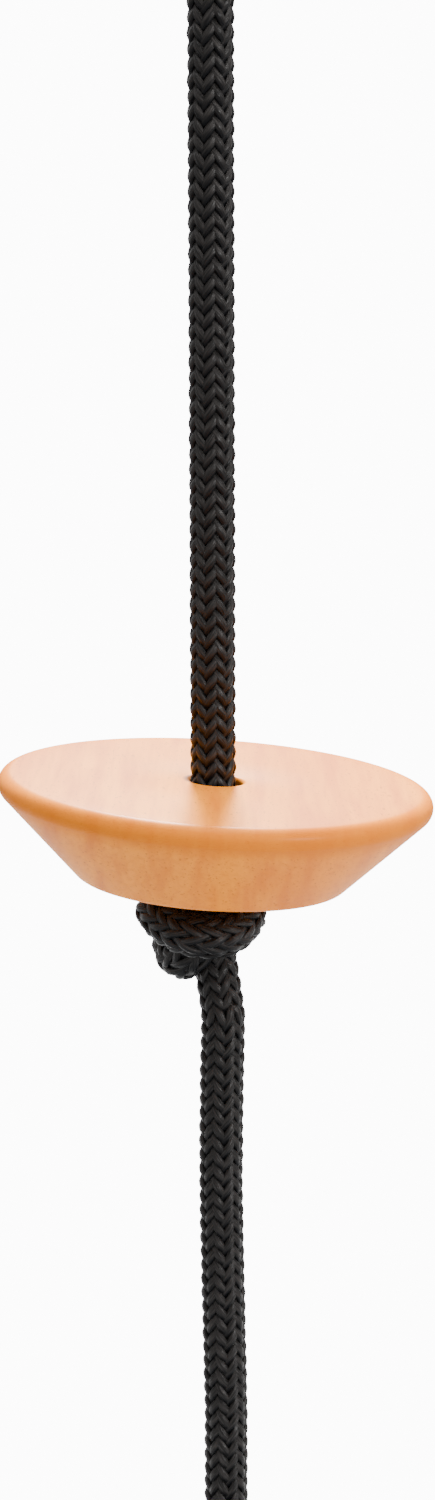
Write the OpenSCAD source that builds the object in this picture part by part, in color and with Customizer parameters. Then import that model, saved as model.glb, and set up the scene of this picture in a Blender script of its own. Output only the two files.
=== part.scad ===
// Disc rope: a turned wooden disc on a braided rope, knotted under the disc and at its lower end,
// and hung from a steel snap hook by an eye with a thimble and a pressed ferrule.
// The origin is the inside of the hook's top, where the bar that carries it bears. Everything hangs
// below it, the rope runs down -Z, and the hook lies in the XZ plane.

/* [Rope] */
// Diameter of the braided rope
rope_d = 12; // [11:0.5:12]
// Depth of the rope's sealed lower end below the hanging point
rope_end_z = -661; // [-700:1:-655]

/* [Disc] */
// Widest diameter of the disc
disc_d = 120; // [100:1:140]
// Height of the disc
disc_h = 28; // [24:1:30]
// Diameter of the hole through the disc
disc_bore_d = 14.5; // [14.5:0.5:18]
// Radius of the rounded rim and of the rounded foot
disc_round = 3.5; // [2:0.5:5]
// Height of the middle of the disc
disc_z = -406; // [-410:1:-404]
// Lean of the disc to the right, as it sits on its knot
disc_lean = 3.8; // [0:0.1:4]

/* [Snap hook] */
// Thickness of the hook's round steel
hook_wire_d = 10; // [9:0.5:10]
// Length of the hook outside
hook_long = 100; // [98:1:110]
// Width of the hook outside
hook_wide = 56; // [54:1:60]
// Diameter of the gate
gate_d = 8.4; // [8:0.2:9]

/* [Eye] */
// Radius of the rope's bend round the thimble, at its middle
eye_bend_r = 24; // [23:0.5:25]
// Angle of each leg of the eye to the load line
eye_leg_angle = 30; // [28:1:32]
// Wall of the thimble
thimble_wall = 1.5; // [1:0.1:2]
// Length of the pressed ferrule
ferrule_long = 32; // [28:1:34]

/* [Hidden] */
$fn = 64;

// Gap between curved faces of pieces that move on each other
moving_gap = 0.3;
rope_r = rope_d / 2;
tube_sides = 12;
ring_spacing = 30;

// Snap hook: the two bows and the straight back between them
wire_r = hook_wire_d / 2;
bow_r = hook_wide / 2 - wire_r;
top_bow_z = wire_r - bow_r;
low_bow_z = 2 * wire_r - hook_long + bow_r + wire_r;
seat_z = low_bow_z - bow_r;

// Gate, which turns on a pin at its lower end and latches at its upper end
gate_r = gate_d / 2;
gate_pivot_rise = 5;
gate_latch_drop = 7;
gate_top_drop = 2;
gate_pivot_z = low_bow_z + gate_pivot_rise;
gate_latch_z = top_bow_z - gate_latch_drop;
gate_top_z = top_bow_z - gate_top_drop;
tongue_thick = 4;
tongue_r = 4;
fork_gap = 0.4;
fork_slot = tongue_thick + fork_gap;
fork_depth = 4.5;
pin_r = 1.5;
pin_gap = 0.05;
pin_head_r = 2.4;
pin_head_h = 0.8;
latch_play = 0.9;
latch_slot = 2 * pin_r + latch_play;
latch_slot_end = 0.2;

// Spring and plunger in the blind hole of the gate
plunger_r = 1.9;
plunger_long = 8;
plunger_tip = 1.2;
plunger_tip_r = 0.7;
plunger_hole_r = 2;
plunger_hole_long = 19;
spring_wire_r = 0.25;
spring_r = 1.5;
spring_turns = 7;
spring_steps = 12;
spring_sides = 6;
end_gap = 0.1;

// Eye: the rope bends round the thimble, and its two legs meet side by side in the ferrule
leg_gap = 13;
groove_gap = 0.2;
thimble_groove_r = rope_r + groove_gap;
thimble_r = thimble_groove_r + thimble_wall;
eye_z = seat_z + wire_r + moving_gap - (eye_bend_r - thimble_r);
leg_drop = (eye_bend_r - leg_gap / 2 * cos(eye_leg_angle)) / sin(eye_leg_angle);
legs_meet_z = eye_z - leg_drop;
thimble_tip_y = 8.8;
thimble_overlap = 0.5;
ferrule_drop = 3.5;
ferrule_top_z = legs_meet_z - ferrule_drop;
ferrule_low_z = ferrule_top_z - ferrule_long;
ferrule_wall = 3.4;
ferrule_gap = 0.1;
ferrule_hole_r = rope_r + ferrule_gap;
ferrule_round = 2.5;
ferrule_sides = 32;
// The load line runs from the hook's lower bow through the rope's standing leg, so the eye leans
eye_lean = atan((leg_gap / 2) / (seat_z - ferrule_low_z));
eye_drop = norm([leg_gap / 2, seat_z - ferrule_low_z]);
eye_turn_steps = 16;
cap_wall = 0.3;
cap_end = 1.2;
dead_end_long = 7;

// Rope below the eye: each free length starts with a dome, about whose middle it can swing
neck_z = seat_z - eye_drop - moving_gap - rope_r;
disc_foot_z = disc_z - disc_h / 2;
knot_gap = 0.8;
knot_top_z = disc_foot_z - knot_gap;
knot_long = 22;
knot_wide = 32;
knot_round = 7;
knot_shift = -3.5;
lobe_r = 6.5;
lobe_place = [-11.5, -1, -20];
tail_z = knot_top_z - knot_long - moving_gap - rope_r;
// Route of the rope under the disc, from the middle of its dome to the knot at its end
tail_route = [[1, 0, tail_z], [2, 0, -458], [2.5, 0, -466], [2, 0, -480], [1.5, 0, -494],
              [1.5, 0, -510], [2, 0, -528], [2.5, 0, -565], [3, 0, -600], [3, 0, -612]];
end_knot_x = 3;
end_knot_z = -612.3;
tip_z = end_knot_z - knot_long - moving_gap;
cap_long = 15;

// Points of a flat arc
function arc(middle, r, from, to, steps) =
    [for (k = [0:steps]) let (a = from + (to - from) * k / steps) middle + r * [cos(a), sin(a)]];

// Direction of a route at its point i
function heading(route, i) =
    let (d = route[min(i + 1, len(route) - 1)] - route[max(i - 1, 0)]) d / norm(d);

// A ring of points round a route's point, and the point's own side vector
function ring(middle, direction, side, r, sides) =
    let (across = cross(direction, side))
    [for (k = [0:sides - 1]) middle + r * (cos(360 * k / sides) * side + sin(360 * k / sides) * across)];

// Evenly spaced points along a straight stretch
function stretch_points(from, to) =
    let (steps = max(1, round(norm(to - from) / ring_spacing)))
    [for (k = [0:steps]) from + (to - from) * k / steps];

// Tube swept along a route. sides_of holds one unit vector per point, square to the route there.
module tube(route, sides_of, r, sides = tube_sides, domed = false) {
    start = heading(route, 0);
    dome_angles = domed ? [80, 60, 40, 20] : [];
    dome = [for (a = dome_angles) ring(route[0] - r * sin(a) * start, start, sides_of[0], r * cos(a), sides)];
    body = [for (i = [0:len(route) - 1]) ring(route[i], heading(route, i), sides_of[i], r, sides)];
    rings = concat(dome, body);
    last = len(rings) - 1;
    walls = [for (i = [0:last - 1]) for (k = [0:sides - 1])
             let (n = (k + 1) % sides) [i * sides + k, (i + 1) * sides + k, (i + 1) * sides + n, i * sides + n]];
    low_end = [[for (k = [0:sides - 1]) k]];
    high_end = [[for (k = [sides - 1:-1:0]) last * sides + k]];
    polyhedron([for (one = rings) each one], concat(low_end, walls, high_end));
}

// The same side vector for every point of a flat route
function same_side(route, side) = [for (p = route) side];

// ---- Snap hook ----

module bow(from) {
    rotate([90, 0, 0])
        rotate([0, 0, from])
            rotate_extrude(angle = 180)
                translate([bow_r, 0])
                    circle(wire_r);
}

// A flat tongue with a round end, that stands out of a bow's end
module tongue(from_z, end_z) {
    low = min(from_z, end_z);
    translate([bow_r - tongue_r, -tongue_thick / 2, low])
        cube([2 * tongue_r, tongue_thick, abs(end_z - from_z)]);
    across_gate(end_z, tongue_r, tongue_thick);
}

// A round bar across the gate, along Y
module across_gate(z, r, long) {
    translate([bow_r, long / 2, z])
        rotate([90, 0, 0])
            cylinder(r = r, h = long);
}

module hook_body() {
    color("silver")
        difference() {
            union() {
                translate([0, 0, top_bow_z]) bow(0);
                translate([0, 0, low_bow_z]) bow(180);
                translate([-bow_r, 0, low_bow_z]) cylinder(r = wire_r, h = top_bow_z - low_bow_z);
                tongue(low_bow_z, gate_pivot_z);
                tongue(top_bow_z, gate_latch_z);
            }
            across_gate(gate_pivot_z, pin_r + pin_gap, hook_wire_d);
            // The latch slot opens inwards, the way the gate's pin leaves it
            translate([bow_r - 2 * tongue_r, -hook_wire_d / 2, gate_latch_z - latch_slot / 2])
                cube([2 * tongue_r + pin_r + latch_slot_end, hook_wire_d, latch_slot]);
        }
}

module fork_cut(low_z, high_z) {
    translate([bow_r - hook_wire_d / 2, -fork_slot / 2, low_z])
        cube([hook_wire_d, fork_slot, high_z - low_z]);
}

module gate() {
    color("lightgray")
        difference() {
            union() {
                translate([bow_r, 0, gate_pivot_z]) cylinder(r = gate_r, h = gate_top_z - gate_pivot_z);
                translate([bow_r, 0, gate_pivot_z]) sphere(gate_r);
            }
            fork_cut(gate_pivot_z - hook_wire_d, gate_pivot_z + fork_depth);
            fork_cut(gate_latch_z - fork_depth, gate_top_z + 1);
            across_gate(gate_pivot_z, pin_r, 2 * gate_d);
            across_gate(gate_latch_z, pin_r, 2 * gate_d);
            translate([bow_r, 0, gate_pivot_z]) cylinder(r = plunger_hole_r, h = plunger_hole_long);
        }
}

module riveted_pin(z) {
    across_gate(z, pin_r, gate_d);
    for (side = [-1, 1])
        translate([0, side * (gate_r + pin_head_h / 2), 0])
            across_gate(z, pin_head_r, pin_head_h);
}

module gate_hinge_pin() {
    color("gray") riveted_pin(gate_pivot_z);
}

module gate_latch_pin() {
    color("gray") riveted_pin(gate_latch_z);
}

// The plunger's round tip presses on the hinge tongue
module gate_plunger() {
    low = gate_pivot_z + tongue_r + end_gap;
    color("gray")
        translate([bow_r, 0, low]) {
            translate([0, 0, plunger_tip]) cylinder(r = plunger_r, h = plunger_long - plunger_tip);
            cylinder(r1 = plunger_tip_r, r2 = plunger_r, h = plunger_tip);
        }
}

module gate_spring() {
    low = gate_pivot_z + tongue_r + end_gap + plunger_long + spring_wire_r;
    high = gate_pivot_z + plunger_hole_long - spring_wire_r - end_gap;
    last = spring_turns * spring_steps;
    sides_of = [for (k = [0:last]) let (a = 360 * k / spring_steps) [cos(a), sin(a), 0]];
    route = [for (k = [0:last]) [bow_r, 0, low + (high - low) * k / last] + spring_r * sides_of[k]];
    color("darkgray") tube(route, sides_of, spring_wire_r, sides = spring_sides);
}

// ---- Eye ----

// Places what is drawn upright below the hook's lower bow at the eye's lean
module eye_leaning() {
    translate([0, 0, seat_z])
        rotate([eye_lean, 0, 0])
            translate([0, 0, -seat_z])
                children();
}

// Half ring on the side of the rope that faces the middle of the eye
module thimble_section() {
    difference() {
        circle(thimble_r);
        circle(thimble_groove_r);
        translate([0, -thimble_r]) square(2 * thimble_r);
    }
}

module thimble() {
    turn = 90 + eye_leg_angle;
    leg_long = (eye_bend_r * cos(eye_leg_angle) - thimble_tip_y) / sin(eye_leg_angle);
    color("gainsboro")
        eye_leaning()
            translate([0, 0, eye_z]) {
                rotate([0, 90, 0]) rotate([0, 0, 180 - turn])
                    rotate_extrude(angle = 2 * turn) translate([eye_bend_r, 0]) thimble_section();
                for (half = [0, 180])
                    rotate([0, 0, half])
                        rotate([-eye_leg_angle, 0, 0])
                            translate([0, eye_bend_r, -leg_long])
                                linear_extrude(leg_long + thimble_overlap)
                                    rotate([0, 0, 90]) thimble_section();
            }
}

module ferrule() {
    outer_r = rope_r + ferrule_wall;
    color("lightsteelblue")
        eye_leaning()
            translate([0, 0, ferrule_low_z])
                difference() {
                    hull()
                        for (side = [-1, 1]) translate([0, side * leg_gap / 2, 0]) {
                            translate([0, 0, ferrule_round])
                                cylinder(r = outer_r, h = ferrule_long - 2 * ferrule_round, $fn = ferrule_sides);
                            cylinder(r = outer_r - ferrule_round / 2, h = ferrule_long, $fn = ferrule_sides);
                        }
                    for (side = [-1, 1])
                        translate([0, side * leg_gap / 2, -1])
                            cylinder(r = ferrule_hole_r, h = ferrule_long + 2);
                }
}

// The rope's turn round the thimble, from its dead end to where the standing part leaves the ferrule
module rope_eye() {
    turn = 90 + eye_leg_angle;
    bend = arc([0, eye_z], eye_bend_r, 90 - turn, 90 + turn, eye_turn_steps);
    half = leg_gap / 2;
    flat = concat([[half, ferrule_low_z - dead_end_long], [half, ferrule_low_z], [half, legs_meet_z]], bend,
                  [[-half, legs_meet_z], [-half, ferrule_low_z]]);
    route = [for (p = flat) [0, p[0], p[1]]];
    color("#262322") eye_leaning() tube(route, same_side(route, [1, 0, 0]), rope_r);
}

// A shrunk sleeve closed over a rope's cut end. It is drawn with its mouth up.
module end_cap(long) {
    difference() {
        translate([0, 0, -long - cap_end]) cylinder(r = rope_r + cap_wall, h = long + cap_end);
        translate([0, 0, -long]) cylinder(r = rope_r, h = long + 1);
    }
}

module eye_end_cap() {
    color("#1c1c1c")
        eye_leaning()
            translate([0, leg_gap / 2, ferrule_low_z - moving_gap])
                end_cap(dead_end_long - moving_gap);
}

// ---- Rope, disc and knots ----

module rope_upper() {
    route = stretch_points([0, 0, neck_z], [0, 0, knot_top_z + moving_gap]);
    color("#262322") tube(route, same_side(route, [0, 1, 0]), rope_r, domed = true);
}

// Flat top, rounded rim, sides at 45 degrees and a rounded foot
module disc() {
    bore_r = disc_bore_d / 2;
    chamfer = 0.6;
    rim = [disc_d / 2 - disc_round, disc_h / 2 - disc_round];
    foot = rim - (disc_h - 2 * disc_round) * [1, 1];
    outline = concat(
        [[bore_r, disc_h / 2 - chamfer], [bore_r, chamfer - disc_h / 2], [bore_r + chamfer, -disc_h / 2]],
        arc(foot, disc_round, -90, -45, 6),
        arc(rim, disc_round, -45, 90, 16),
        [[bore_r + chamfer, disc_h / 2]]);
    color("burlywood")
        translate([0, 0, disc_z])
            rotate([0, disc_lean, 0])
                rotate_extrude($fn = 128) polygon(outline);
}

// The outside shape of an overhand knot: a round body with one lobe of the rope under its left side
module knot_shape() {
    half_wide = knot_wide / 2;
    outline = concat(
        [[0, -knot_long]],
        arc([half_wide - knot_round, knot_round - knot_long], knot_round, -90, 0, 6),
        arc([half_wide - knot_round, -knot_round], knot_round, 0, 90, 6),
        [[0, 0]]);
    translate([knot_shift, 0, 0]) rotate_extrude() polygon(outline);
    translate(lobe_place) sphere(lobe_r);
}

module disc_knot() {
    color("#262322") translate([0, 0, knot_top_z]) knot_shape();
}

module rope_lower() {
    color("#262322") tube(tail_route, same_side(tail_route, [0, 1, 0]), rope_r, domed = true);
}

module end_knot() {
    color("#262322") translate([end_knot_x, 0, end_knot_z]) rotate([0, 0, 180]) knot_shape();
}

module rope_tip() {
    route = stretch_points([end_knot_x, 0, tip_z], [end_knot_x, 0, rope_end_z + cap_end]);
    color("#262322") tube(route, same_side(route, [0, 1, 0]), rope_r);
}

module rope_end_cap() {
    color("#1c1c1c")
        translate([end_knot_x, 0, rope_end_z + cap_end + cap_long])
            end_cap(cap_long);
}

hook_body();
gate();
gate_hinge_pin();
gate_latch_pin();
gate_spring();
gate_plunger();
thimble();
ferrule();
rope_eye();
eye_end_cap();
rope_upper();
disc();
disc_knot();
rope_lower();
end_knot();
rope_tip();
rope_end_cap();
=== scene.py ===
"""The looks of the disc rope: a black braided rope knotted under a lacquered wooden disc.

The rope is one line from its dead end at the thimble, through the hook's eye, the disc and both
knots, to its sealed lower end. Its braid is real strands woven round that line. The frame is
the CAD model's own, so +Z is up.
"""

import math

import bpy
import numpy as np
from mathutils import Matrix, Vector


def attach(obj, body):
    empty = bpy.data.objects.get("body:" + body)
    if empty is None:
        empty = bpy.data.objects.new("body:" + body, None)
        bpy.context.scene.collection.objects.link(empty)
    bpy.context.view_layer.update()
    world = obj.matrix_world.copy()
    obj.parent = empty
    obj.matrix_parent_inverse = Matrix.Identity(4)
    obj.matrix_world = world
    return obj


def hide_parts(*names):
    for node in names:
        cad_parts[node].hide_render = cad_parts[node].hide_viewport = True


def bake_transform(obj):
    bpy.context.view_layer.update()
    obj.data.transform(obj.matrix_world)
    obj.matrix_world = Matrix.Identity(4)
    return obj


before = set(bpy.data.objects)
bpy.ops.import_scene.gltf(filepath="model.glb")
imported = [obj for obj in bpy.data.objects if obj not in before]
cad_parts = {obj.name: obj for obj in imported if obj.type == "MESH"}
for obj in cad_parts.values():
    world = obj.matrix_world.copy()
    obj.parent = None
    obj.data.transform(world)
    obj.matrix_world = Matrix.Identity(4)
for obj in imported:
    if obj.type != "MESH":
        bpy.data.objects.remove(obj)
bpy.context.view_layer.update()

MM = 0.001
SPLINE_STEPS = 24         # points that a smooth line gets between each two of its guide's

# ---------------------------------------------------------------- sizes shared with the CAD model

ROPE_D = 12.0
SEAT_Z = -85.0            # middle of the hook's lower bow, which the eye hangs on
EYE_Z = -96.0             # middle of the rope's bend round the thimble
EYE_BEND_R = 24.0
LEG_GAP = 13.0            # between the middles of the two legs in the ferrule
LEG_ANGLE = 30.0
LEGS_MEET_Z = -132.74
FERRULE_LOW_Z = -168.24
FERRULE_LONG = 32.0
FERRULE_R = 9.4           # radius of each of its two round sides
FERRULE_ROUND = 2.5
EYE_LEAN = math.atan((LEG_GAP / 2) / (SEAT_Z - FERRULE_LOW_Z))
DEAD_END = 7.0            # the rope's short end sticks out this far below the ferrule

DISC_D = 120.0
DISC_H = 28.0
DISC_Z = -406.0
DISC_BORE_D = 14.5
DISC_ROUND = 3.5
DISC_LEAN = math.radians(3.8)
DISC_FOOT_Z = DISC_Z - DISC_H / 2

END_KNOT_Z = -611.5
END_X = 3.0
ROPE_END_Z = -661.0
CAP_LONG = 15.0

# ---------------------------------------------------------------- shapes that the CAD model doesn't have

PRESS_MARKS = (0.25, 0.5, 0.75)   # places of the ferrule's press marks, as shares of its length
PRESS_MARK_DEEP = 0.35
PRESS_MARK_WIDE = 1.8
DISC_BORE_EDGE = 1.2              # rounding of both ends of the disc's bore


# ---------------------------------------------------------------- camera

def add_camera():
    """At the photograph's height and distance, looking a little down on the disc."""
    aim = Vector((1.2, 0.0, -383.6)) * MM
    distance = 873.0 * MM
    down = math.radians(11.5)
    roll = math.radians(-0.19)
    forward = Vector((0.0, math.cos(down), -math.sin(down)))
    right = Vector((1.0, 0.0, 0.0))
    up = right.cross(forward)
    turned_right = right * math.cos(roll) + up * math.sin(roll)
    turned_up = up * math.cos(roll) - right * math.sin(roll)
    camera = bpy.data.objects.new("camera", bpy.data.cameras.new("camera"))
    camera.data.sensor_fit = "VERTICAL"
    camera.data.sensor_height = 36.0
    camera.data.lens = 76.3
    camera.data.clip_start = 0.01
    turn = Matrix((turned_right, turned_up, -forward)).transposed()
    camera.matrix_world = Matrix.Translation(aim - forward * distance) @ turn.to_4x4()
    bpy.context.scene.collection.objects.link(camera)
    bpy.context.scene.camera = camera


# ---------------------------------------------------------------- lines

def along(points):
    """Distance along a line at each of its points."""
    steps = np.linalg.norm(np.diff(points, axis=0), axis=1)
    return np.concatenate([[0.0], np.cumsum(steps)])


def evenly(points, spacing):
    """The same line with points an even distance apart."""
    at = along(points)
    wanted = np.linspace(0.0, at[-1], int(round(at[-1] / spacing)) + 1)
    return np.stack([np.interp(wanted, at, points[:, k]) for k in range(3)], axis=1)


def smooth_line(points, spacing):
    """A smooth line through given points (Catmull-Rom)."""
    p = np.asarray(points, float)
    p = np.concatenate([[2 * p[0] - p[1]], p, [2 * p[-1] - p[-2]]])
    t = np.linspace(0.0, 1.0, SPLINE_STEPS, endpoint=False)[:, None]
    parts = []
    for a, b, c, d in zip(p[:-3], p[1:-2], p[2:-1], p[3:]):
        parts.append(0.5 * (2 * b + (c - a) * t + (2 * a - 5 * b + 4 * c - d) * t ** 2
                            + (3 * b - a - 3 * c + d) * t ** 3))
    parts.append(p[-2:-1])
    return evenly(np.concatenate(parts), spacing)


def turned_about_z(points, degrees):
    c, s = math.cos(math.radians(degrees)), math.sin(math.radians(degrees))
    return points @ np.array([[c, s, 0.0], [-s, c, 0.0], [0.0, 0.0, 1.0]])


# ---------------------------------------------------------------- knot

# An overhand knot, listed as points from the rope's middle line above it to the one below it.
# Zero is on the rope's line at the face the knot hangs from.
KNOT_GUIDE = [
    (0, 0, 60), (0, 0, 40), (0, 0, 20), (0, 0, 6), (0, -3, -6), (-1, -5, -12), (-4, -5, -19.5),
    (-9, -2, -24), (-13, 3, -21), (-14, 8, -14), (-10.5, 12, -8), (-2, 13, -7), (6, 9.5, -8),
    (9, 1, -10.5), (7, -8, -13), (0, -13, -13.5), (-8, -12.5, -11.5), (-14.5, -7, -8.5),
    (-15.5, 0, -8), (-10.5, 4.5, -11), (-4.5, 4.5, -15), (-1.3, 4.5, -20), (-0.4, 3, -27),
    (2.2, 1, -36), (2.8, 0, -44), (1.8, 0, -55),
]
KNOT_TURN = -18.0         # turn of the knot about the rope
KNOT_PRESS = 0.8          # how close two turns lie, as a share of the rope's diameter
KNOT_SPACING = 2.5        # distance between the knot's points while it settles
KNOT_ROUNDS = 120
KNOT_HELD = 6             # points held still at each end
KNOT_CEILING = -5.0       # turns stay below this height under the face
KNOT_HOLE = 4.0           # but the rope may pass the ceiling this near its own line
KEEP_LENGTH = 0.25        # shares of the error mended in each round: spacing,
KEEP_SMOOTH = 0.05        # sharp bends,
KEEP_APART = 0.175        # and turns that lie too close


def settled_knot():
    """The guide relaxed: even length, smooth bends, turns pushed apart, and held under the face."""
    p = evenly(smooth_line(KNOT_GUIDE, 0.5), KNOT_SPACING)
    spacing = along(p)[-1] / (len(p) - 1)
    reach = ROPE_D * KNOT_PRESS
    other_turn = int(math.ceil(math.pi / 2 * reach / spacing))
    first, second = np.triu_indices(len(p), other_turn)
    top_end, low_end = p[:KNOT_HELD].copy(), p[-KNOT_HELD:].copy()
    for _ in range(KNOT_ROUNDS):
        keep_spacing(p, spacing)
        p[1:-1] += KEEP_SMOOTH * ((p[:-2] + p[2:]) / 2 - p[1:-1])
        push_apart(p, first, second, reach)
        too_high = (p[:, 2] > KNOT_CEILING) & (np.hypot(p[:, 0], p[:, 1]) > KNOT_HOLE)
        p[too_high, 2] = KNOT_CEILING
        p[:KNOT_HELD], p[-KNOT_HELD:] = top_end, low_end
    return p


def keep_spacing(p, spacing):
    """Moves neighbours towards their even spacing, the odd ones after the even ones."""
    for part in (0, 1):
        step = p[1:] - p[:-1]
        length = np.linalg.norm(step, axis=1, keepdims=True)
        fix = (length - spacing) / length * step * KEEP_LENGTH
        p[:-1][part::2] += fix[part::2]
        p[1:][part::2] -= fix[part::2]


def push_apart(p, first, second, reach):
    """Moves apart the points of different turns that lie closer than reach."""
    gap = p[second] - p[first]
    near = np.flatnonzero((gap ** 2).sum(1) < reach ** 2)
    gap = gap[near]
    size = np.linalg.norm(gap, axis=1, keepdims=True)
    push = (reach - size) / size * gap * KEEP_APART
    np.add.at(p, first[near], -push)
    np.add.at(p, second[near], push)


def knot_line(turn, top_z, x, from_z, to_z):
    """The settled knot turned about Z and hung at top_z, with its straight ends cut at two heights."""
    p = turned_about_z(settled_knot(), turn) + [x, 0.0, top_z]
    way_in = len(p) // 4
    way_out = (-len(p)) // 5
    keep = np.ones(len(p), bool)
    keep[:way_in] = p[:way_in, 2] < from_z
    keep[way_out:] = p[way_out:, 2] > to_z
    return p[keep]


# ---------------------------------------------------------------- the rope's middle line

LINE_SPACING = 0.8
FERRULE_Z = (-158.0, -148.0)                                # heights of its points in the ferrule
NECK_Z = (-174.0, -182.0, -200.0, -240.0, -300.0, -340.0)   # and of those down to the disc
TAIL_GUIDE = [
    (2.2, 0, -474), (1.9, 0, -493), (1.8, 0, -510), (2.1, 0, -528), (2.5, 0, -550), (3.0, 0, -575),
]


def leaning(points):
    """Puts points of the upright eye at the eye's lean, about the hook's lower bow."""
    c, s = math.cos(EYE_LEAN), math.sin(EYE_LEAN)
    y, z = points[:, 1], points[:, 2] - SEAT_Z
    return np.stack([points[:, 0], y * c - z * s, y * s + z * c + SEAT_Z], axis=1)


def eye_line():
    """From the short end up through the ferrule, round the thimble and down again."""
    half = LEG_GAP / 2
    turn = 90.0 + LEG_ANGLE
    bend_points = 25
    angles = np.radians(np.linspace(90.0 - turn, 90.0 + turn, bend_points))
    bend = [(0.0, EYE_BEND_R * math.cos(a), EYE_Z + EYE_BEND_R * math.sin(a)) for a in angles]
    leg_top = LEGS_MEET_Z - 4.0
    short_leg = (FERRULE_LOW_Z - DEAD_END, FERRULE_LOW_Z, *FERRULE_Z, leg_top)
    long_leg = (leg_top, *reversed(FERRULE_Z), FERRULE_LOW_Z + 3.0)
    up = [(0.0, half, z) for z in short_leg]
    down = [(0.0, -half, z) for z in long_leg]
    return leaning(np.array(up + bend + down))


def rope_middle_line():
    """The whole rope's middle line, from its short end to its lower end."""
    neck = [(0.0, 0.0, z) for z in NECK_Z]
    first = knot_line(KNOT_TURN, DISC_FOOT_Z, x=0.0, from_z=-366.0, to_z=-462.0)
    second = knot_line(KNOT_TURN + 180.0, END_KNOT_Z, x=END_X, from_z=-590.0, to_z=-644.0)
    tip = [(END_X, 0, -650), (END_X, 0, ROPE_END_Z + 1.5)]
    return smooth_line(np.concatenate([eye_line(), neck, first, TAIL_GUIDE, second, tip]), LINE_SPACING)


# ---------------------------------------------------------------- braid

STRANDS_EACH_WAY = 12
LAY = 49.2                # one strand's turn round the rope takes this length
WEAVE_R = 4.95            # mean radius of the strands' middle lines
WEAVE_DEPTH = 0.6
WEAVE_PHASE = 0.15        # how late a strand rises and dives, so it lies over the next column's strands
STRAND_WIDE = 2.55
STRAND_THICK = 1.65
BRAID_TURN = -29.0        # turn of the braid's columns round the rope
UNEVEN_OUT = 0.05         # how far strands stray outwards or inwards
UNEVEN_OUT_LONG = 4.3     # and how gently, in millimetres for a radian
UNEVEN_TURN = 0.025       # how far strands stray sideways, in radians
UNEVEN_TURN_LONG = 6.1
STRAND_SIDES = 8
CORE_R = 4.8
SLEEVE_SQUEEZE = 0.09     # how much the braid shrinks inside a sleeve, as a share of its radius
SLEEVE_TAPER = 2.0        # length over which it shrinks

OTHER_TURN = 1.25         # past this distance along the rope, in diameters, is another turn of it
TOUCHING = 1.05           # and nearer than this, in diameters, that turn presses on this one
CONTACT_GAP = 0.05
BLOCK = 200               # points that look for contacts among the same neighbours
NEARBY = 260              # how many points before and after a block those neighbours reach


def carried_frame(p):
    """Tangent and two side vectors at each point, carried along the line without twist."""
    tangent = np.gradient(p, axis=0)
    tangent /= np.linalg.norm(tangent, axis=1, keepdims=True)
    side = np.zeros_like(p)
    turn = math.radians(BRAID_TURN)
    side[0] = (math.cos(turn), math.sin(turn), 0.0)
    for k in range(1, len(p)):
        s = side[k - 1] - tangent[k] * side[k - 1].dot(tangent[k])
        side[k] = s / np.linalg.norm(s)
    return tangent, side, np.cross(tangent, side)


def strand_rings(p, at, frames, way, number):
    """One strand's rings: over two and under two strands that run the other way."""
    tangent, side, across = frames
    angle = way * 2 * math.pi * at / LAY + 2 * math.pi * number / STRANDS_EACH_WAY
    wave = np.cos(angle * STRANDS_EACH_WAY / 2 - WEAVE_PHASE) * way
    own = 2.4 * number + way    # starts each strand's unevenness at its own place
    angle = angle + UNEVEN_TURN * np.sin(at / UNEVEN_TURN_LONG + 3.0 * own)
    radius = WEAVE_R + WEAVE_DEPTH * wave + UNEVEN_OUT * np.sin(at / UNEVEN_OUT_LONG + own)
    out = np.cos(angle)[:, None] * side + np.sin(angle)[:, None] * across
    middle = p + out * radius[:, None]
    run = np.gradient(middle, axis=0)
    run /= np.linalg.norm(run, axis=1, keepdims=True)
    wide = np.cross(run, out)
    wide /= np.linalg.norm(wide, axis=1, keepdims=True)
    face = np.cross(wide, run)
    return ring_points(middle, wide, STRAND_WIDE / 2, face, STRAND_THICK / 2)


def ring_points(middle, wide, half_wide, face, half_thick):
    """An oval ring of points round each point of a middle line."""
    turn = 2 * math.pi * np.arange(STRAND_SIDES) / STRAND_SIDES
    return (middle[:, None, :]
            + wide[:, None, :] * (np.cos(turn) * half_wide)[None, :, None]
            + face[:, None, :] * (np.sin(turn) * half_thick)[None, :, None])


def tube_faces(rings, sides, first):
    """Quads of an open tube whose rings follow each other from vertex number first."""
    ring = np.arange(rings - 1)[:, None] * sides
    k = np.arange(sides)[None, :]
    n = (k + 1) % sides
    quads = np.stack([ring + k, ring + n, ring + sides + n, ring + sides + k], axis=-1)
    return quads.reshape(-1, 4) + first


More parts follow.
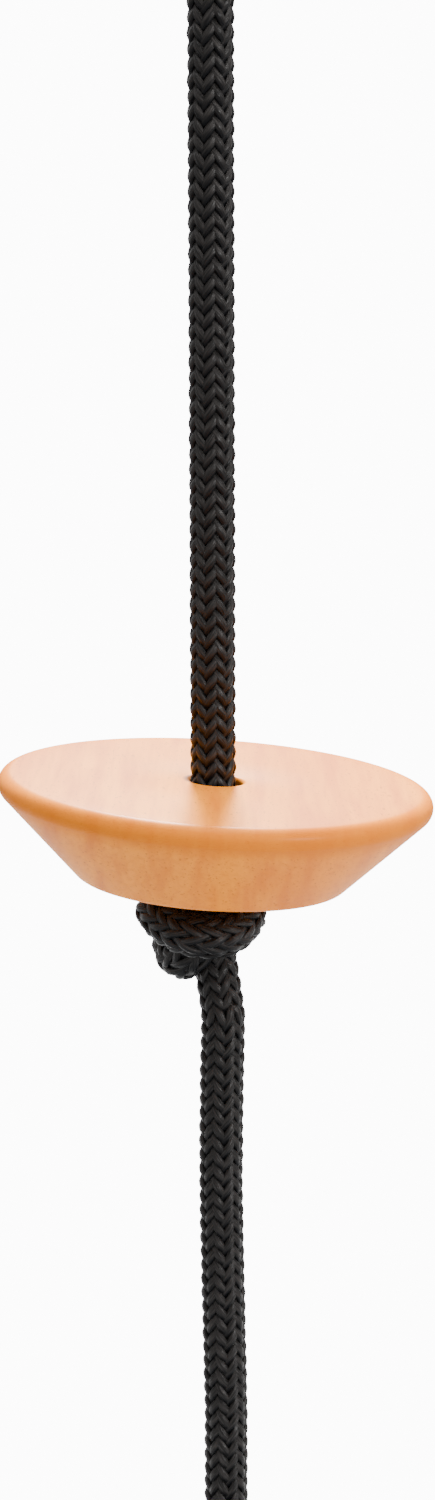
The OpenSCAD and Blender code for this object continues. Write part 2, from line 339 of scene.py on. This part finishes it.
class Braid:
    """The whole rope's strands, from which pieces are cut between two places on its line."""

    def __init__(self):
        self.p = rope_middle_line()
        self.at = along(self.p)
        self.frames = carried_frame(self.p)
        self.strands = []
        for way in (1, -1):
            for number in range(STRANDS_EACH_WAY):
                self.strands.append(strand_rings(self.p, self.at, self.frames, way, number))
        self.shape_contacts()
        self.tuck_into_sleeves()

    def shape_contacts(self):
        """Where two turns of the rope press on each other, both end at the plane between them."""
        for start in range(0, len(self.p), BLOCK):
            stop = min(start + BLOCK, len(self.p))
            low = max(0, start - NEARBY)
            high = min(len(self.p), stop + NEARBY)
            neighbours = np.arange(low, high, 2)
            for k in range(start, stop):
                for direction, reach in self.contacts(k, neighbours):
                    self.press(k, direction, reach)

    def contacts(self, k, neighbours):
        """The direction and distance of each contact plane round one point of the line."""
        far = neighbours[np.abs(self.at[neighbours] - self.at[k]) > ROPE_D * OTHER_TURN]
        gaps = self.p[far] - self.p[k]
        sizes = np.linalg.norm(gaps, axis=1)
        near = sizes < ROPE_D * TOUCHING
        return [(gap / size, size / 2 - CONTACT_GAP) for gap, size in zip(gaps[near], sizes[near])]

    def press(self, k, direction, reach):
        """Flattens every strand's ring at one point of the line against a plane."""
        for rings in self.strands:
            over = (rings[k] - self.p[k]) @ direction - reach
            rings[k] -= np.outer(np.maximum(over, 0.0), direction)

    def tuck_into_sleeves(self):
        """Both ends of the rope are thinner where a sleeve closes over them."""
        short_end = (DEAD_END + SLEEVE_TAPER - self.at) / SLEEVE_TAPER
        low_end = (self.at - self.at[-1] + CAP_LONG + SLEEVE_TAPER) / SLEEVE_TAPER
        inside = np.clip(np.maximum(short_end, low_end), 0.0, 1.0)
        size = (1.0 - SLEEVE_SQUEEZE * inside)[:, None, None]
        middle = self.p[:, None, :]
        self.strands = [middle + (rings - middle) * size for rings in self.strands]

    def place(self, z, after=0.0, x=0.0):
        """Number of the line's point nearest to a place, past a distance along the line."""
        allowed = np.flatnonzero(self.at >= after)
        gap = np.linalg.norm(self.p[allowed] - [x, 0.0, z], axis=1)
        return int(allowed[gap.argmin()])

    def cut(self, name, start, stop):
        """A mesh of every strand between two points of the line, with a dark core under them."""
        tubes = [rings[start:stop + 1] for rings in self.strands]
        tubes.append(self.core_rings(start, stop))
        verts = np.concatenate([rings.reshape(-1, 3) for rings in tubes])
        rings = stop - start + 1
        firsts = range(0, len(verts), rings * STRAND_SIDES)
        faces = np.concatenate([tube_faces(rings, STRAND_SIDES, first) for first in firsts])
        mesh = make_mesh(name, verts * MM, faces)
        self.add_strand_uv(mesh, start, stop)
        return link(mesh)

    def core_rings(self, start, stop):
        _, side, across = (f[start:stop + 1] for f in self.frames)
        return ring_points(self.p[start:stop + 1], side, CORE_R, across, CORE_R)

    def add_strand_uv(self, mesh, start, stop):
        """u runs along each strand in metres, and v once round it, with each strand's own offset."""
        rings = stop - start + 1
        tubes = len(self.strands) + 1
        at = self.at[start:stop + 1] * MM
        u = np.tile(np.repeat(at, STRAND_SIDES), tubes)
        v = np.tile(np.arange(STRAND_SIDES) / STRAND_SIDES, rings * tubes)
        number = np.repeat(np.arange(tubes), rings * STRAND_SIDES)
        corner = np.empty(len(mesh.loops), np.int32)
        mesh.loops.foreach_get("vertex_index", corner)
        quads = v[corner].reshape(-1, 4)
        wraps = (quads.max(1) - quads.min(1)) > 0.5
        quads[wraps] += quads[wraps] < 0.25
        layer = mesh.uv_layers.new(name="strand")
        uv = np.stack([u[corner], quads.reshape(-1) + number[corner] * 2.0], axis=1)
        layer.data.foreach_set("uv", uv.ravel().astype(np.float32))


# ---------------------------------------------------------------- meshes

def make_mesh(name, verts, faces, smooth=True):
    mesh = bpy.data.meshes.new(name)
    mesh.from_pydata([tuple(v) for v in verts], [], [tuple(int(i) for i in f) for f in faces])
    mesh.polygons.foreach_set("use_smooth", [smooth] * len(mesh.polygons))
    mesh.update()
    return mesh


def link(mesh):
    obj = bpy.data.objects.new(mesh.name, mesh)
    bpy.context.scene.collection.objects.link(obj)
    return obj


def arc_points(middle, r, start, stop, steps):
    """Points of an arc between two angles in degrees."""
    angles = np.radians(np.linspace(start, stop, steps + 1))
    return [(middle[0] + r * math.cos(a), middle[1] + r * math.sin(a)) for a in angles]


def lathe(name, outline, sides):
    """Turns a (radius, height) outline about Z."""
    rings = np.array(outline, float)
    turn = 2 * math.pi * np.arange(sides) / sides
    verts = np.stack([rings[:, :1] * np.cos(turn), rings[:, :1] * np.sin(turn),
                      np.repeat(rings[:, 1:], sides, axis=1)], axis=-1)
    return make_mesh(name, verts.reshape(-1, 3) * MM, tube_faces(len(rings), sides, 0))


# ---------------------------------------------------------------- materials

class Nodes:
    """A short way to write a material's nodes."""

    def __init__(self, name):
        self.material = bpy.data.materials.new(name)
        self.material.use_nodes = True
        self.tree = self.material.node_tree
        self.tree.nodes.clear()
        self.out = self.add("ShaderNodeOutputMaterial")
        self.shader = self.add("ShaderNodeBsdfPrincipled")
        self.join(self.shader.outputs[0], self.out.inputs["Surface"])

    def add(self, kind, **values):
        node = self.tree.nodes.new(kind)
        for key, value in values.items():
            setattr(node, key, value)
        return node

    def join(self, source, target):
        self.tree.links.new(source, target)

    def set(self, **values):
        """Sets the shader's own sockets, each from a number, a colour or another node."""
        for key, value in values.items():
            socket = self.shader.inputs[key.replace("_", " ")]
            if hasattr(value, "node"):
                self.join(value, socket)
            else:
                socket.default_value = value

    def coordinates(self, kind="Object", scale=(1, 1, 1), turn=(0, 0, 0)):
        source = self.add("ShaderNodeTexCoord")
        mapping = self.add("ShaderNodeMapping")
        mapping.inputs["Scale"].default_value = scale
        mapping.inputs["Rotation"].default_value = turn
        self.join(source.outputs[kind], mapping.inputs["Vector"])
        return mapping.outputs["Vector"]

    def noise(self, vector, scale, detail=3.0):
        node = self.add("ShaderNodeTexNoise")
        node.inputs["Scale"].default_value = scale
        node.inputs["Detail"].default_value = detail
        self.join(vector, node.inputs["Vector"])
        return node.outputs["Fac"]

    def ramp(self, fac, *stops):
        """A colour ramp with a (place, colour) pair for each stop."""
        node = self.add("ShaderNodeValToRGB")
        ramp = node.color_ramp
        while len(ramp.elements) < len(stops):
            ramp.elements.new(0.5)
        for element, (place, colour) in zip(ramp.elements, stops):
            element.position = place
            element.color = (*colour, 1.0)
        self.join(fac, node.inputs["Fac"])
        return node.outputs["Color"]

    def from_axis(self):
        """Distance from the rope's line."""
        flat = self.add("ShaderNodeVectorMath", operation="LENGTH")
        self.join(self.coordinates(scale=(1, 1, 0)), flat.inputs[0])
        return flat.outputs["Value"]

    def facing_up(self):
        """How far a surface faces up: 1 on top, and -1 underneath."""
        source = self.add("ShaderNodeTexCoord")
        parts = self.add("ShaderNodeSeparateXYZ")
        self.join(source.outputs["Normal"], parts.inputs[0])
        return parts.outputs["Z"]

    def levels(self, fac, low, high, to_low, to_high):
        """Maps low to to_low and high to to_high, and holds the value beyond them."""
        node = self.add("ShaderNodeMapRange")
        node.inputs["From Min"].default_value = low
        node.inputs["From Max"].default_value = high
        node.inputs["To Min"].default_value = to_low
        node.inputs["To Max"].default_value = to_high
        self.join(fac, node.inputs["Value"])
        return node.outputs["Result"]

    def mixed(self, fac, first, second):
        """The first colour where fac is 0, and the second where it is 1."""
        node = self.add("ShaderNodeMix", data_type="RGBA")
        factor, colour_a, colour_b = (node.inputs[number] for number in (0, 6, 7))
        self.join(fac, factor)
        for colour, socket in ((first, colour_a), (second, colour_b)):
            if isinstance(colour, tuple):
                socket.default_value = (*colour, 1.0)
            else:
                self.join(colour, socket)
        return node.outputs[2]

    def bump(self, height, distance, strength):
        node = self.add("ShaderNodeBump")
        node.inputs["Strength"].default_value = strength
        node.inputs["Distance"].default_value = distance
        self.join(height, node.inputs["Height"])
        return node.outputs["Normal"]


def rope_material():
    """Black filaments that run along each strand, with a faint warm gloss. Undersides carry painted
    shade: where a surface faces down, its colour is darker and its reflection weaker.
    """
    m = Nodes("rope_fibre")
    filaments = m.noise(m.coordinates("UV", scale=(250.0, 14.0, 1.0)), 1.0, detail=2.0)
    patches = m.noise(m.coordinates("Object"), 900.0, detail=2.0)
    worn = m.levels(patches, 0.4, 0.7, 0.0, 0.5)
    # Painted shade on the undersides: darker colour and weaker reflection where a strand faces down.
    painted_underside_shade = m.levels(m.facing_up(), -0.45, 0.0, 0.85, 0.0)
    sheen_painted_dim_below = m.levels(m.facing_up(), -0.4, 0.0, 0.07, 0.17)
    colour = m.ramp(filaments, (0.35, (0.002, 0.0017, 0.0016)), (0.68, (0.023, 0.0202, 0.019)))
    colour = m.mixed(worn, colour, (0.01, 0.0087, 0.0081))
    # Painted shade: the undersides turn a near-black, slightly blue tone.
    colour = m.mixed(painted_underside_shade, colour, (0.0018, 0.0023, 0.0032))
    m.set(Base_Color=colour, Roughness=m.levels(patches, 0.3, 0.7, 0.32, 0.5), Specular_IOR_Level=sheen_painted_dim_below)
    m.set(Normal=m.bump(filaments, 0.0004, 0.8))
    return m.material


def beech_material():
    """Lacquered beech: fine straight grain from front to back with short dark flecks.

    The rim is tinted deeper with thinner lacquer, and painted shade darkens the bore's wall and a thin
    ring round its mouth.
    The base colours are fitted to this studio's bright light, and are more saturated than bare beech.
    """
    m = Nodes("beech")
    rings = m.noise(m.coordinates(scale=(1.0, 0.1, 0.3), turn=(0, 0.5, 0.1)), 160.0)
    grain = m.noise(m.coordinates(scale=(1.0, 0.06, 1.0)), 700.0, detail=4.0)
    broad = m.noise(m.coordinates(scale=(1.0, 0.3, 1.0)), 22.0, detail=2.0)
    flecks = m.noise(m.coordinates(scale=(1.0, 0.25, 1.0)), 1500.0, detail=1.0)
    from_axis = m.from_axis()
    rim = m.levels(from_axis, 0.0555, 0.0592, 0.0, 0.75)
    # Painted shade: darkens the bore's wall and a thin ring round its mouth.
    bore = m.levels(from_axis, 0.0076, 0.0086, 0.85, 0.0)
    lacquer = m.levels(from_axis, 0.0545, 0.0575, 0.17, 0.1)
    colour = m.ramp(broad, (0.3, (0.72, 0.2, 0.006)), (0.7, (0.84, 0.27, 0.012)))
    colour = m.mixed(m.levels(rings, 0.45, 0.65, 0.0, 0.8), colour, (0.62, 0.15, 0.004))
    colour = m.mixed(m.levels(grain, 0.45, 0.75, 0.0, 0.4), colour, (0.55, 0.13, 0.004))
    colour = m.mixed(m.levels(flecks, 0.62, 0.75, 0.0, 0.5), colour, (0.35, 0.08, 0.003))
    colour = m.mixed(rim, colour, (0.6, 0.15, 0.0005))
    # The bore's painted shade, a dark brown.
    colour = m.mixed(bore, colour, (0.1, 0.03, 0.004))
    m.set(Base_Color=colour, Roughness=0.5, Specular_IOR_Level=0.02)
    m.set(Coat_Weight=lacquer, Coat_Roughness=0.28, Coat_IOR=1.45)
    m.set(Normal=m.bump(grain, 0.0002, 0.1))
    return m.material


def steel_material(name, colour, rough):
    """Bright zinc-plated steel with fine drawing marks and a slightly uneven finish."""
    m = Nodes(name)
    marks = m.noise(m.coordinates(scale=(1.0, 1.0, 0.1)), 1800.0, detail=2.0)
    cloud = m.noise(m.coordinates(), 90.0, detail=4.0)
    dark = tuple(c * 0.72 for c in colour)
    shade = m.mixed(m.levels(cloud, 0.35, 0.7, 0.0, 0.5), colour, dark)
    m.set(Base_Color=shade, Metallic=1.0, Roughness=m.levels(cloud, 0.3, 0.7, rough, rough + 0.14))
    m.set(Normal=m.bump(marks, 0.0001, 0.15))
    return m.material


def sleeve_material():
    """Black shrunk sleeve with a soft gloss and a fine, slightly wrinkled skin."""
    m = Nodes("cap_sleeve")
    skin = m.noise(m.coordinates(scale=(1.0, 1.0, 0.35)), 500.0, detail=3.0)
    colour = m.ramp(skin, (0.3, (0.008, 0.008, 0.009)), (0.7, (0.02, 0.02, 0.021)))
    m.set(Base_Color=colour, Roughness=m.levels(skin, 0.3, 0.7, 0.3, 0.5))
    m.set(Normal=m.bump(skin, 0.0004, 0.3))
    return m.material


# ---------------------------------------------------------------- pieces

def add_rope(braid):
    """Five lengths of the rope: the knot's length rides the knot's body and the end's length the tail's
    body, while the other three stay where they are built.
    """
    fibre = rope_material()
    below_ferrule = braid.place(-182.0, after=200.0)
    at_disc = braid.place(-408.0, after=400.0)
    below_knot = braid.place(-447.0, x=1.0, after=braid.at[at_disc] + 60.0)
    above_end_knot = braid.place(-604.0, x=END_X, after=700.0)
    rope_end = len(braid.p) - 1

    eye, path = rope_length(braid, "rope_eye_braid", 0, below_ferrule, fibre)
    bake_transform(eye)
    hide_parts("rope_eye")

    run, path = rope_length(braid, "rope_run_braid", below_ferrule, at_disc, fibre)
    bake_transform(run)
    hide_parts("rope_upper")

    knot, path = rope_length(braid, "rope_knot_braid", at_disc, below_knot, fibre)
    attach(knot, "knot")
    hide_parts("disc_knot")

    tail, path = rope_length(braid, "rope_tail_braid", below_knot, above_end_knot, fibre)
    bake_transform(tail)
    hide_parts("rope_lower")

    end, path = rope_length(braid, "rope_end_braid", above_end_knot, rope_end, fibre)
    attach(end, "tail")
    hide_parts("end_knot", "rope_tip")


def rope_length(braid, name, start, stop, material):
    """One length of the rope between two points of its line, and its path in metres."""
    piece = braid.cut(name, start, stop)
    piece.data.materials.append(material)
    return piece, braid.p[start:stop + 1] * MM


def disc_outline():
    """Half the disc's section, from the foot of its bore round the rim and back down the bore."""
    bore = DISC_BORE_D / 2
    edge = DISC_BORE_EDGE
    top, foot = DISC_H / 2, -DISC_H / 2
    rim = (DISC_D / 2 - DISC_ROUND, top - DISC_ROUND)
    low = (rim[0] - (DISC_H - 2 * DISC_ROUND), foot + DISC_ROUND)
    flat_top = [(rim[0] - 6.0, top), (30.0, top)]
    return ([(bore, foot + edge)]
            + arc_points((bore + edge, foot + edge), edge, 180, 270, 5)
            + arc_points(low, DISC_ROUND, -90, -45, 8)
            + arc_points(rim, DISC_ROUND, -45, 90, 20)
            + flat_top
            + arc_points((bore + edge, top - edge), edge, 90, 180, 5)
            + [(bore, foot + edge)])


def add_disc():
    mesh = lathe("disc_wood", disc_outline(), sides=256)
    mesh.transform(Matrix.Translation((0, 0, DISC_Z * MM)) @ Matrix.Rotation(DISC_LEAN, 4, "Y"))
    disc = link(mesh)
    mesh.materials.append(beech_material())
    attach(disc, "disc")
    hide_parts("disc")


def ferrule_radius(height):
    """Radius of the ferrule's round sides at each height above its foot."""
    to_end = np.minimum(height, FERRULE_LONG - height)
    corner = np.clip(1.0 - to_end / FERRULE_ROUND, 0.0, 1.0)
    radius = FERRULE_R - FERRULE_ROUND * (1.0 - np.sqrt(1.0 - corner ** 2))
    for mark in PRESS_MARKS:
        away = (height - mark * FERRULE_LONG) / PRESS_MARK_WIDE
        radius -= PRESS_MARK_DEEP * np.exp(-away ** 2)
    return radius


def add_ferrule():
    """A pressed sleeve with rounded ends and three shallow press marks."""
    sides = 96
    height = np.linspace(0.0, FERRULE_LONG, 65)
    radius = ferrule_radius(height)
    turn = 2 * math.pi * (np.arange(sides) + 0.5) / sides
    x = radius[:, None] * np.cos(turn)
    y = radius[:, None] * np.sin(turn) + LEG_GAP / 2 * np.sign(np.sin(turn))
    z = np.repeat(FERRULE_LOW_Z + height[:, None], sides, axis=1)
    verts = leaning(np.stack([x, y, z], axis=-1).reshape(-1, 3))
    faces = [tuple(face) for face in tube_faces(len(height), sides, 0)]
    faces.append(tuple(range(sides))[::-1])
    faces.append(tuple(range(len(verts) - sides, len(verts))))
    ferrule = link(make_mesh("ferrule_pressed", verts * MM, faces))
    ferrule.data.materials.append(steel_material("ferrule_alloy", (0.56, 0.57, 0.58), 0.38))
    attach(ferrule, "eye")
    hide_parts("ferrule")


def dress_cad():
    """Materials of the CAD pieces that keep their own shape."""
    bright = steel_material("hook_steel", (0.5, 0.51, 0.52), 0.24)
    pins = steel_material("pin_steel", (0.38, 0.38, 0.39), 0.3)
    spring = steel_material("spring_steel", (0.3, 0.3, 0.31), 0.3)
    lining = steel_material("thimble_steel", (0.52, 0.53, 0.54), 0.28)
    sleeve = sleeve_material()
    looks = {"hook_body": bright, "gate": bright, "gate_hinge_pin": pins, "gate_latch_pin": pins,
             "gate_spring": spring, "gate_plunger": pins, "thimble": lining,
             "eye_end_cap": sleeve, "rope_end_cap": sleeve}
    for node, material in looks.items():
        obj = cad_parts[node]
        obj.data.materials.clear()
        obj.data.materials.append(material)


# ---------------------------------------------------------------- studio

GROUND_SHOWN = 12.0       # how bright the white ground looks
SKY_LIGHT = 1.1           # how strongly the surroundings light the object
FLOOR_HALF = 6.0          # in metres, as are all places in the studio
FLOOR_Z = -0.72
LIGHTS_AIM = (0.0, 0.0, -0.4)


def bright_to_camera(tree, shader, strength):
    """Lets the studio's white ground show as white, while it lights the object more softly."""
    light = tree.nodes.new("ShaderNodeLightPath")
    glow = tree.nodes.new("ShaderNodeEmission")
    glow.inputs["Color"].default_value = (1.0, 1.0, 1.0, 1.0)
    glow.inputs["Strength"].default_value = strength
    mix = tree.nodes.new("ShaderNodeMixShader")
    tree.links.new(light.outputs["Is Camera Ray"], mix.inputs[0])
    tree.links.new(shader, mix.inputs[1])
    tree.links.new(glow.outputs[0], mix.inputs[2])
    return mix.outputs[0]


def add_floor():
    signs = ((-1, -1), (1, -1), (1, 1), (-1, 1))
    corners = [(x * FLOOR_HALF, y * FLOOR_HALF, FLOOR_Z) for x, y in signs]
    floor = link(make_mesh("floor", np.array(corners), [(0, 1, 2, 3)], smooth=False))
    m = Nodes("floor")
    tone = m.noise(m.coordinates(), 3.0)
    m.set(Base_Color=m.ramp(tone, (0.3, (0.36, 0.36, 0.36)), (0.7, (0.38, 0.38, 0.38))), Roughness=0.9)
    m.join(bright_to_camera(m.tree, m.shader.outputs[0], GROUND_SHOWN), m.out.inputs["Surface"])
    floor.data.materials.append(m.material)


def add_sky():
    world = bpy.data.worlds.new("studio")
    world.use_nodes = True
    tree = world.node_tree
    sky = tree.nodes["Background"]
    sky.inputs["Color"].default_value = (1, 1, 1, 1)
    sky.inputs["Strength"].default_value = SKY_LIGHT
    shown = bright_to_camera(tree, sky.outputs[0], GROUND_SHOWN)
    tree.links.new(shown, tree.nodes["World Output"].inputs["Surface"])
    bpy.context.scene.world = world


def add_area(name, place, wide, high, power):
    """An oval area light that the camera doesn't see."""
    light = bpy.data.lights.new(name, "AREA")
    light.shape = "ELLIPSE"
    light.size = wide
    light.size_y = high
    light.energy = power
    obj = bpy.data.objects.new(name, light)
    obj.location = place
    obj.visible_camera = False
    obj.rotation_euler = (Vector(LIGHTS_AIM) - Vector(place)).to_track_quat("-Z", "Y").to_euler()
    bpy.context.scene.collection.objects.link(obj)


def add_studio():
    """A white studio, with a soft light above, a narrow one behind and a small key light at the right."""
    add_floor()
    add_sky()
    add_area("above", (0.1, 0.0, 0.9), wide=1.2, high=1.2, power=30.0)
    add_area("behind", (0.0, 1.1, 0.6), wide=0.3, high=0.9, power=120.0)
    add_area("key", (1.1, -1.0, 0.1), wide=0.35, high=0.35, power=20.0)


add_camera()
add_rope(Braid())
add_disc()
add_ferrule()
dress_cad()
add_studio()
